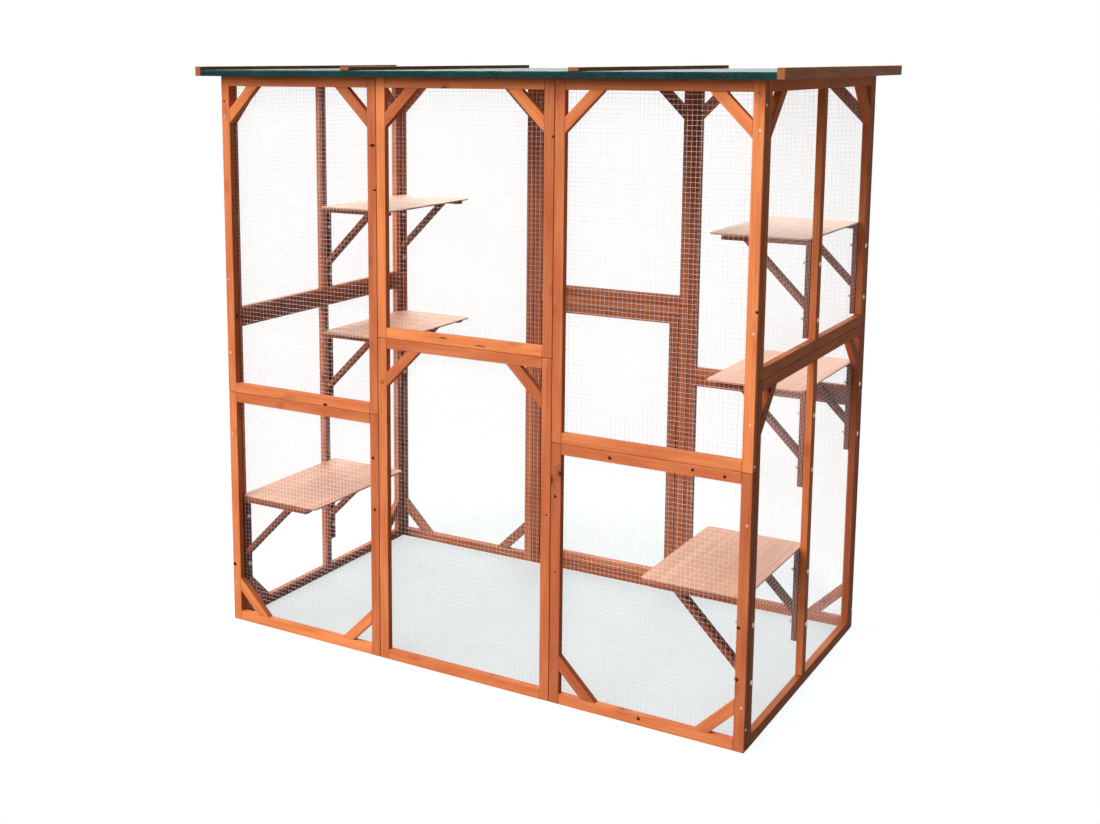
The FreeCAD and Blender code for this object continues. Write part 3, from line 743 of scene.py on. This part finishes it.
def makeFelt():
    half = roofHalfWidth - roof["boardThickness"]
    seam = roof["seam"] + roof["joint"] / 2
    spans = {"left": (-half, -seam), "centre": (-seam + roof["joint"], seam - roof["joint"]),
             "right": (seam, half)}
    depth, thick = roofHalfDepth - roof["inset"], roof["felt"]
    outer = feltProfile(depth, feltTop, roof["fold"])
    inner = feltProfile(depth - thick, feltTop - thick + roof["lining"], roof["fold"] - thick)
    for number, (name, (low, high)) in enumerate(spans.items()):
        dice = random.Random(500 + number)
        phases = [(dice.uniform(20, 90), dice.uniform(0, 7), dice.uniform(0.3, 1.0))
                  for _ in range(roof["waves"])]
        work = bmesh.new()
        rings = []
        for column in range(roof["columns"] + 1):
            x = low + (high - low) * column / roof["columns"]
            wave = sum(size * math.sin(pace * x + shift) for pace, shift, size in phases) / 4
            ripple = wave * roof["ripple"]
            ring = []
            for index, (y, z) in enumerate(outer):
                if index not in (0, len(outer) - 1):
                    z += ripple * math.sin(9 * y + x * 14 + number)
                if abs(y) > roofHalfDepth - roof["hemDepth"]:
                    y -= math.copysign(roof["hemShare"], y) * ripple
                ring.append(work.verts.new((x, y, z)))
            ring += [work.verts.new((x, y, z)) for y, z in inner[::-1]]
            rings.append(ring)
        skin(work, rings)
        for ring in (rings[0], rings[-1]):
            for index in range(len(outer) - 1):
                work.faces.new((ring[index], ring[index + 1], ring[-index - 2], ring[-index - 1]))
        recalculate(work)
        node = "roof_%s_felt" % name
        addPiece(camel(node), meshOf(work, "roofFelt"), roofFeltMaterial, "roof_felt", "enclosure", node)


def makeRoofTrim():
    boards, strips = Pile(601), Pile(602)
    depth = 2 * roofHalfDepth
    for sign in (-1, 1):
        start = Vector((sign * roofHalfWidth, -roofHalfDepth, wallTop))
        boards.board(start, yAxis, -xAxis * sign, zAxis, rectangle(depth, roof["boardThickness"]),
                     roof["boardHeight"])
        start = Vector((sign * roof["seam"] - roof["stripWidth"] / 2, -roofHalfDepth, feltTop))
        strips.board(start, yAxis, xAxis, zAxis, rectangle(depth, roof["stripWidth"]),
                     roof["stripHeight"], roof["stripEase"])
    boards.finish("roofSideBoards", roofTimberMaterial, "roof_timber", "enclosure", "roof_side_boards")
    strips.finish("roofCoverStrips", roofTimberMaterial, "roof_timber", "enclosure", "roof_cover_strips")


makeFelt()
makeRoofTrim()
for name in bays:
    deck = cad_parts["roof_%s_deck" % name]
    deck.data.materials.clear()
    deck.data.materials.append(deckBoardMaterial)
print("roof made")


# Bolts that hold the brackets: local +X runs from the head outside to the nut and the tip inside

bolt = dict(radius=0.003, headRadius=0.0065, headHeight=0.003, nutFlat=0.010, nutHeight=0.005,
            tip=0.005, chamfer=0.001, washerRadius=0.0066, washerHeight=0.0008, threads=5,
            nutEase=0.0005)


def boltWork():
    work = bmesh.new()
    head, high = bolt["headRadius"], bolt["headHeight"]
    radius, washer = bolt["radius"], bolt["washerHeight"]
    dome = [(-high, 0)] + [(-high * math.sin(math.radians(90 - 15 * step)),
                            head * math.sin(math.radians(15 * step))) for step in range(1, 6)]
    span = walls["thickness"] + walls["net"] + shelves["section"]
    profile = dome + [(0, head), (0, radius), (span, radius), (span, bolt["washerRadius"]),
                      (span + washer, bolt["washerRadius"]), (span + washer, radius)]
    # turns of thread on the tip
    start, threaded = span + bolt["nutHeight"], bolt["tip"] - bolt["chamfer"]
    for step in range(bolt["threads"]):
        low = start + threaded * step / bolt["threads"]
        profile += [(low, radius * 0.88), (low + threaded / bolt["threads"] / 2, radius)]
    end = start + bolt["tip"]
    profile += [(end - bolt["chamfer"], radius * 0.9), (end, radius * 0.6), (end, 0)]
    addWork(work, turned(profile))
    nut = prism(circle(bolt["nutFlat"] / math.sqrt(3), 6), bolt["nutHeight"] - washer, bolt["nutEase"])
    addWork(work, nut, (span + washer, 0, 0), Matrix.Rotation(rightAngle, 4, "Y"))
    return work


def makeBolts():
    master = boltWork()
    work = bmesh.new()
    dice = random.Random(9)
    for sign in (-1, 1):
        for name, top in shelves["tops"].items():
            under = top - shelves["thickness"] - shelves["section"]
            for y in bracketStarts(name):
                for drop in shelves["boltDrops"]:
                    spot = (sign * halfWidth, y + shelves["width"] / 2, under - drop)
                    addWork(work, master, spot, facing(-xAxis * sign, dice.uniform(0, 6)))
    closeMesh(work, "bracketBolts", boltMaterial, "bolt_steel", "enclosure", "bracket_bolts")


# Countersunk screws with a cross in the head, set on points by Geometry Nodes

screw = dict(
    radius=0.0036, proud=0.0004, recess=0.0016, segments=32, crossHalf=0.16,
    crossReach=0.7, dome=((0.30, 1.0), (0.62, 0.92), (0.86, 0.6), (1.0, -0.2), (1.0, -3.0)),
    wallX=0.829, wallLevels=(1.579, 1.087, 0.859, 0.602, 0.120), sideY=0.469,
    sideLevels=(1.640, 0.752, 0.060), roofY=(-0.465, 0.0, 0.465), roofLevel=1.713,
    smallSize=0.42, sunk=0.0002,
)


def screwHead():
    # local +Z looks out of the wood; a shallow dome with a sunk cross
    work = bmesh.new()
    rings = [[work.verts.new((0, 0, -screw["recess"]))]]
    for radius, height in screw["dome"]:
        ring = []
        for x, y in circle(radius, screw["segments"]):
            inCross = min(abs(x), abs(y)) < screw["crossHalf"] and max(abs(x), abs(y)) < screw["crossReach"]
            deep = screw["recess"] * 0.6 if inCross and radius < screw["crossReach"] else 0
            ring.append(work.verts.new((x * screw["radius"], y * screw["radius"],
                                        screw["proud"] * height - deep)))
        rings.append(ring)
    rings.append([work.verts.new((0, 0, -screw["recess"] * 2))])
    skin(work, rings)
    recalculate(work)
    mesh = meshOf(work, "screwHead")
    mesh.shade_smooth()
    return mesh


def screwTree(head):
    inputs = {"Geometry": "Geometry", "Size": "Float", "Seed": "Int"}
    tree, names, (points, size, seed) = nodeGroup("ScrewsOnPoints", inputs)
    outward = addNode(tree, "GeometryNodeInputNamedAttribute", {"Name": "outward"}, "Attribute",
                      data_type="FLOAT_VECTOR")
    aim = addNode(tree, "FunctionNodeAlignRotationToVector", {"Vector": outward}, axis="Z")
    angle = addNode(tree, "FunctionNodeRandomValue", {2: 0.0, 3: 6.28, "Seed": seed}, 1, data_type="FLOAT")
    roll = addNode(tree, "ShaderNodeCombineXYZ", {"Z": angle})
    roll = addNode(tree, "FunctionNodeEulerToRotation", (roll,))
    turn = addNode(tree, "FunctionNodeRotateRotation", {"Rotation": aim, "Rotate By": roll},
                   rotation_space="LOCAL")
    shape = addNode(tree, "GeometryNodeObjectInfo", {"Object": head}, "Geometry")
    heads = addNode(tree, "GeometryNodeInstanceOnPoints",
                    {"Points": points, "Instance": shape, "Rotation": turn, "Scale": size})
    finishTree(tree, addNode(tree, "GeometryNodeRealizeInstances", (heads,)), boltMaterial)
    return tree, names


headObject = placed("screwHead", screwHead())
screwGroup, screwNames = screwTree(headObject)


def setScrews(name, body, spots, size=1.0, seed=4):
    # spots are (place, outward) pairs on a surface
    mesh = bpy.data.meshes.new(name)
    mesh.from_pydata([spot for spot, outward in spots], [], [])
    layer = mesh.attributes.new("outward", "FLOAT_VECTOR", "POINT")
    layer.data.foreach_set("vector", [number for spot, outward in spots for number in outward])
    made = evaluated(mesh, screwGroup, dict(zip(screwNames[1:], (size, seed))))
    made.name = name
    addPiece(name, made, boltMaterial, "bolt_steel", body)


def wallScrews():
    spots = []
    for sign in (-1, 1):
        for wallSign in (-1, 1):
            spots += [(Vector((sign * screw["wallX"], wallSign * halfDepth, z)), yAxis * wallSign)
                      for z in screw["wallLevels"]]
            # through the edge of the end wall into its neighbour
            spots += [(Vector((sign * halfWidth, wallSign * screw["sideY"], z)), xAxis * sign)
                      for z in screw["sideLevels"]]
    return spots


def roofScrews():
    # these heads lie flush, so that nothing stands past the boards
    spots = []
    sideX, stripTop = roofHalfWidth - screw["proud"], feltTop + roof["stripHeight"] - screw["proud"]
    for sign in (-1, 1):
        for y in screw["roofY"]:
            spots.append((Vector((sign * sideX, y, screw["roofLevel"])), xAxis * sign))
            spots.append((Vector((sign * roof["seam"], y, stripTop)), zAxis))
    return spots


# Hinges

hinge = dict(
    length=0.060, leafWidth=0.024, leafThickness=0.0015, knuckleRadius=0.0035,
    knuckles=5, runningGap=0.0003, pinRadius=0.0017, pinHead=0.001, pinFit=0.00005,
    corner=0.004, ease=0.0003, bridge=0.002,
)
hingeX = -doorWidth / 2 - door["gap"] / 2
hingeY = halfDepth + hinge["knuckleRadius"]
hingeFeet = (doorBase + door["hingeInset"] - hinge["length"] / 2,
             doorBase + doorHeight - door["hingeInset"] - hinge["length"] / 2)
hingeRelief = hinge["knuckleRadius"] + hinge["runningGap"]
# a plate on the wood: its own XY plane turns into XZ and its thickness into Y
onWood = axes(xAxis, zAxis, yAxis)


def hingeLeaf(work, sign, foot, knuckles):
    length, thick, gap = hinge["length"], hinge["leafThickness"], hinge["runningGap"]
    leaf = prism(roundedOutline(hinge["leafWidth"], length, hinge["corner"]), thick, hinge["ease"])
    spot = (hingeX + sign * hingeRelief, halfDepth, foot)
    addWork(work, leaf, spot, axes(xAxis * sign, zAxis, yAxis))
    share = length / hinge["knuckles"]
    for index in knuckles:
        low = foot + index * share + gap / 2
        # a curl of sheet round the pin that runs into the leaf
        inner, outer = hinge["pinRadius"] + hinge["pinFit"], hinge["knuckleRadius"]
        angles = [math.radians(-90 + sign * step * 18) for step in range(18)]
        curl = prism(arc(outer, angles) + arc(inner, angles[::-1]), share - gap)
        addWork(work, curl, (hingeX, hingeY, low))
        bridge = prism(rectangle(hingeRelief + hinge["bridge"], thick), share - gap)
        addWork(work, bridge, (hingeX, halfDepth, low), Matrix.Scale(sign, 4, xAxis))


def makeHinges():
    fixed, moving, pins = bmesh.new(), bmesh.new(), bmesh.new()
    spots = {-1: [], 1: []}
    radius, cap, length = hinge["pinRadius"], hinge["pinHead"], hinge["length"]
    knob = hinge["knuckleRadius"] * 0.85
    profile = [(-cap, 0), (-cap, knob * 0.7), (-cap * 0.6, knob), (0, knob), (0, radius), (length, radius),
               (length, knob), (length + cap * 0.6, knob), (length + cap, knob * 0.7), (length + cap, 0)]
    for foot in hingeFeet:
        hingeLeaf(fixed, -1, foot, range(0, hinge["knuckles"], 2))
        hingeLeaf(moving, 1, foot, range(1, hinge["knuckles"], 2))
        addWork(pins, turned(profile, 16), (hingeX, hingeY, foot), facing(zAxis))
        for sign in spots:
            x = hingeX + sign * (hingeRelief + hinge["leafWidth"] / 2)
            y = halfDepth + hinge["leafThickness"] - screw["sunk"]
            spots[sign] += [(Vector((x, y, foot + length * part / 6)), yAxis) for part in (1, 3, 5)]
    closeMesh(fixed, "hingeFrameLeaves", hingeMaterial, "hinge_steel", "enclosure", "hinge_frame_leaves")
    closeMesh(moving, "hingeDoorLeaves", hingeMaterial, "hinge_steel", "door", "hinge_door_leaves")
    closeMesh(pins, "hingePins", hingeMaterial, "hinge_steel", "enclosure", "hinge_pins")
    return spots[-1], spots[1]


# Barrel bolt of the door

latch = dict(
    length=0.026, width=0.026, plate=0.0015, edgeInset=0.002, rodRadius=0.004,
    rodGap=0.00035, guideLength=0.006, guideWall=0.003, guideInset=0.001, throw=0.018,
    stopGap=0.0005, knobRadius=0.003, knobLength=0.014, tail=0.005,
    keeperLength=0.020, keeperInset=0.003, keeperGuideInset=0.003, keeperScrews=0.0145,
    screwSpread=0.0095, corner=0.003, ease=0.0003, foot=0.0006,
)
latchZ = walls["tall"] / 2
latchY = halfDepth + latch["plate"] + latch["guideWall"] + latch["rodRadius"]
latchRight = doorWidth / 2 - latch["edgeInset"]
latchLeft = latchRight - latch["length"]
knobX = latchLeft - latch["throw"] - latch["stopGap"] - latch["knobRadius"]
keeperLeft = doorWidth / 2 + door["gap"] + latch["keeperInset"]


def staple(work, x, length):
    # a strap bent over the rod, on two feet; its channel leaves the rod's clearance
    inner = latch["rodRadius"] + latch["rodGap"]
    outer = inner + latch["guideWall"] * 0.8
    rise, foot = latchY - halfDepth, latch["foot"]
    angles = [math.pi * step / 12 for step in range(13)]
    arch, hollow = ([(-x, rise + z) for x, z in arc(radius, angles)] for radius in (outer, inner))
    outline = [(-outer, foot)] + arch + [(outer, foot), (inner, foot)] + hollow[::-1] + [(-inner, foot)]
    # the outline is drawn across the rod, and its length runs along it
    addWork(work, prism(outline, length), (x, halfDepth, latchZ), axes(zAxis, yAxis, xAxis))


def plateOnWood(work, x, length):
    outline = roundedOutline(length, latch["width"], latch["corner"])
    spot = (x, halfDepth, latchZ - latch["width"] / 2)
    addWork(work, prism(outline, latch["plate"], latch["ease"]), spot, onWood)


def makeLatch():
    base, rod, keeper = bmesh.new(), bmesh.new(), bmesh.new()
    guide, inset = latch["guideLength"], latch["guideInset"]
    plateOnWood(base, latchLeft, latch["length"])
    for x in (latchLeft + inset, latchRight - inset - guide):
        staple(base, x, guide)
    plateOnWood(keeper, keeperLeft, latch["keeperLength"])
    staple(keeper, keeperLeft + latch["keeperGuideInset"], guide * 1.2)
    radius, knob = latch["rodRadius"], latch["knobRadius"]
    start = knobX - latch["tail"]
    long, reach = latchRight - start, radius + latch["knobLength"]
    profile = [(0, 0), (0, radius * 0.75), (radius * 0.25, radius), (long - radius * 0.6, radius),
               (long - radius * 0.15, radius * 0.75), (long, radius * 0.35), (long, 0)]
    addWork(rod, turned(profile, 28), (start, latchY, latchZ))
    profile = [(0, 0), (0, knob * 0.7), (reach - knob * 1.6, knob * 0.7), (reach - knob * 1.3, knob),
               (reach - knob * 0.4, knob), (reach, knob * 0.55), (reach, 0)]
    addWork(rod, turned(profile, 20), (knobX, latchY, latchZ), facing(yAxis))
    for work in (base, rod, keeper):
        recalculate(work)
    closeMesh(base, "boltBase", latchMaterial, "latch_steel", "door", "bolt_base")
    closeMesh(rod, "boltRod", latchMaterial, "latch_steel", "bolt", "bolt_rod")
    closeMesh(keeper, "boltKeeper", latchMaterial, "latch_steel", "enclosure", "bolt_keeper")
    face = halfDepth + latch["plate"] - screw["sunk"]
    return [[(Vector((x, face, latchZ + side * latch["screwSpread"])), yAxis) for side in (-1, 1)]
            for x in (keeperLeft + latch["keeperScrews"], latchLeft + latch["length"] / 2)]


# Dead knots and a round plug in the front, where the photograph shows them: x, z, radius, stretch

knots = dict(
    height=0.00025, dark=(0.022, 0.007, 0.005), plug=(-0.266, 0.834, 0.0053),
    spots=((-0.828, 1.625, 0.0035, 1), (-0.292, 1.510, 0.0045, 2), (-0.285, 1.385, 0.003, 2),
           (0.276, 1.550, 0.0035, 1), (0.452, 0.719, 0.005, 1), (0.682, 0.723, 0.0045, 1),
           (0.767, 0.718, 0.0045, 1), (0.268, 0.532, 0.003, 1), (0.294, 0.588, 0.004, 1),
           (0.295, 0.376, 0.0025, 1), (-0.300, 0.605, 0.005, 1), (-0.295, 0.450, 0.005, 1),
           (-0.832, 0.181, 0.006, 1), (0.548, 0.020, 0.005, 1), (-0.470, 0.742, 0.004, 2),
           (-0.060, 0.985, 0.0015, 9), (0.060, 0.975, 0.0015, 11), (-0.266, 0.834, 0.006, 1),
           (0.8150, 0.332, 0.005, 1), (0.8150, 0.194, 0.005, 1), (0.8360, 1.141, 0.004, 1)),
)


def knotMaterial(name):
    shade = Shader(name)
    place = shade.objectPlace()
    rough = shade.noise(place, 700.0, 3.0, 0.6)
    body = shade.colour(rough.step(0.35, 0.7) * 0.4, knots["dark"], stain["deep"])
    # one is a sound plug with a dark ring
    x, z, radius = knots["plug"]
    away = place.scaled((1.0, 0.0, 1.0)).vector("SUBTRACT", (x, 0.0, z)).vector("LENGTH")
    body = shade.colour(away.step(radius, radius * 0.7), body, stain["middle"])
    shade.bump(rough, 0.0004, 0.8)
    return shade.set(Base_Color=body, Roughness=0.55 + rough * 0.3, Specular_IOR_Level=0.05)


def makeKnots():
    work = bmesh.new()
    height = knots["height"]
    for x, z, radius, stretch in knots["spots"]:
        profile = [(-height, 0), (-height, radius), (height * 0.4, radius), (height, radius * 0.75),
                   (height * 0.7, radius * 0.3), (height * 0.7, 0)]
        turn = Matrix.Scale(stretch, 4, xAxis) @ facing(-yAxis)
        addWork(work, turned(profile, 20), (x, -halfDepth, z), turn)
    closeMesh(work, "woodKnots", knotMaterial("TimberKnots"), "stained_timber", "enclosure")


makeKnots()
makeBolts()
hingeFrameSpots, hingeDoorSpots = makeHinges()
keeperSpots, baseSpots = makeLatch()
setScrews("frameScrews", "enclosure", wallScrews() + roofScrews())
setScrews("hingeFrameScrews", "enclosure", hingeFrameSpots + keeperSpots, screw["smallSize"], 5)
setScrews("hingeDoorScrews", "door", hingeDoorSpots + baseSpots, screw["smallSize"], 6)
bpy.data.objects.remove(headObject)
print("ironwork made")


# Stage: two soft suns, a dim surround and a white background. A sun is azimuth, height, size, strength.

# the lower glow inside the walls and the grey patch behind them are painted shade on the floor
stage = dict(
    floor=(0.10, 0.11, 0.115), floorTint=(0.955, 1.0, 1.0), floorGlow=0.90, paintedShadeGlow=0.62,
    worldLight=0.055, keyLight=(-30.0, 31.0, 58.0, 4.3), backLight=(205.0, 38.0, 50.0, 3.4),
    halo=(0.02, 0.80), paintedShadowDepth=1.7, paintedShadowLean=0.6, paintedShadowEdge=(0.12, -0.05), behind=0.60,
    floorHalf=30, floorLevel=-0.0006, worn=0.06,
)


def raysSeen(tree, *kinds):
    # 1 for the rays that reach the picture in one of these ways
    path = tree.nodes.new("ShaderNodeLightPath")
    seen, *others = (Flow(tree, path.outputs["Is %s Ray" % kind]) for kind in kinds)
    for other in others:
        seen = seen.maths("MAXIMUM", other)
    return seen


def makeFloor():
    work = bmesh.new()
    half = stage["floorHalf"]
    work.faces.new([work.verts.new((x * half, y * half, stage["floorLevel"]))
                    for x, y in ((-1, -1), (1, -1), (1, 1), (-1, 1))])
    mesh = meshOf(work, "floor")
    floor = placed("floor", mesh)
    shade = Shader("Floor")
    # to the camera and to reflections the floor is near white, and wholly white some way off; it is darker
    # inside the walls and in a patch behind the back wall, which is painted shade
    place = shade.objectPlace()
    seen = raysSeen(shade.tree, "Camera", "Glossy")
    worn = shade.noise(place, 5.0, 5.0, 0.65) * stage["worn"]
    x, y = place.part("X"), place.part("Y")
    outside = (x.maths("ABSOLUTE") - halfWidth).maths("MAXIMUM", y.maths("ABSOLUTE") - halfDepth)
    back = y - halfDepth
    aside = (x + back * stage["paintedShadowLean"]).maths("ABSOLUTE")
    # painted shadow: the floor stays grey for some way behind the back wall, in a sheared patch
    behind = (back.step(stage["paintedShadowDepth"], 0.0) * back.step(-0.04, 0.0)
              * aside.step(*(halfWidth + edge for edge in stage["paintedShadowEdge"])))
    # inside the walls, and less behind them, the floor's glow drops: painted shade
    inside = outside.step(0.0, -0.02).maths("MAXIMUM", behind * stage["behind"])
    far = outside.step(*stage["halo"]) * (1.0 - behind)
    level = stage["floorGlow"] + worn - inside * (stage["floorGlow"] - stage["paintedShadeGlow"])
    shade.set(Base_Color=stage["floor"], Roughness=0.95, Emission_Strength=seen,
              Emission_Color=shade.colour(1.0, stage["floorTint"], level, "MULTIPLY"))
    glow = addNode(shade.tree, "ShaderNodeEmission")
    surface = Flow(shade.tree, shade.surface.outputs[0])
    blend = addNode(shade.tree, "ShaderNodeMixShader", (far * seen, surface, glow))
    connect(shade.tree, shade.tree.nodes["Material Output"].inputs["Surface"], blend)
    mesh.materials.append(shade.material)


def makeWorld():
    world = bpy.data.worlds.new("Studio")
    bpy.context.scene.world = world
    world.use_nodes = True
    tree = world.node_tree
    background = tree.nodes["Background"]
    background.inputs["Color"].default_value = (1.0, 1.0, 1.0, 1.0)
    seen = raysSeen(tree, "Camera", "Glossy", "Transmission")
    connect(tree, background.inputs["Strength"], seen * (1.0 - stage["worldLight"]) + stage["worldLight"])


def addSun(name):
    azimuth, height, size, strength = stage[name]
    lamp = bpy.data.lights.new(name, "SUN")
    lamp.angle = math.radians(size)
    lamp.energy = strength
    holder = placed(name, lamp)
    a, e = math.radians(azimuth), math.radians(height)
    outward = Vector((math.sin(a) * math.cos(e), -math.cos(a) * math.cos(e), math.sin(e)))
    holder.rotation_euler = (-outward).to_track_quat("-Z", "Y").to_euler()


makeFloor()
makeWorld()
addSun("keyLight")
addSun("backLight")


# Camera, fitted to the photograph's corners. The shift keeps its view of upright walls.

shot = dict(
    place=(1.9702, -3.7377, 1.7500), azimuth=32.05, elevation=-8.92, roll=-0.11,
    focal=1411.2, width=1100.0, shift=(0.10, -0.12), sensor=36.0, clip=(0.1, 100.0),
)


def makeCamera():
    data = bpy.data.cameras.new("camera")
    camera = placed("camera", data)
    data.sensor_width = shot["sensor"]
    data.lens = shot["focal"] / shot["width"] * data.sensor_width
    data.shift_x, data.shift_y = shot["shift"]
    data.clip_start, data.clip_end = shot["clip"]
    a, e, roll = (math.radians(shot[name]) for name in ("azimuth", "elevation", "roll"))
    ahead = Vector((-math.sin(a) * math.cos(e), math.cos(a) * math.cos(e), math.sin(e)))
    level = Vector((math.cos(a), math.sin(a), 0.0))
    upward = level.cross(ahead)
    right = math.cos(roll) * level + math.sin(roll) * upward
    up = -math.sin(roll) * level + math.cos(roll) * upward
    camera.matrix_world = Matrix.Translation(shot["place"]) @ axes(right, up, -ahead)
    bpy.context.scene.camera = camera


makeCamera()
bpy.context.scene.view_settings.view_transform = "Standard"
print("stage, light and camera made")

bpy.context.view_layer.update()
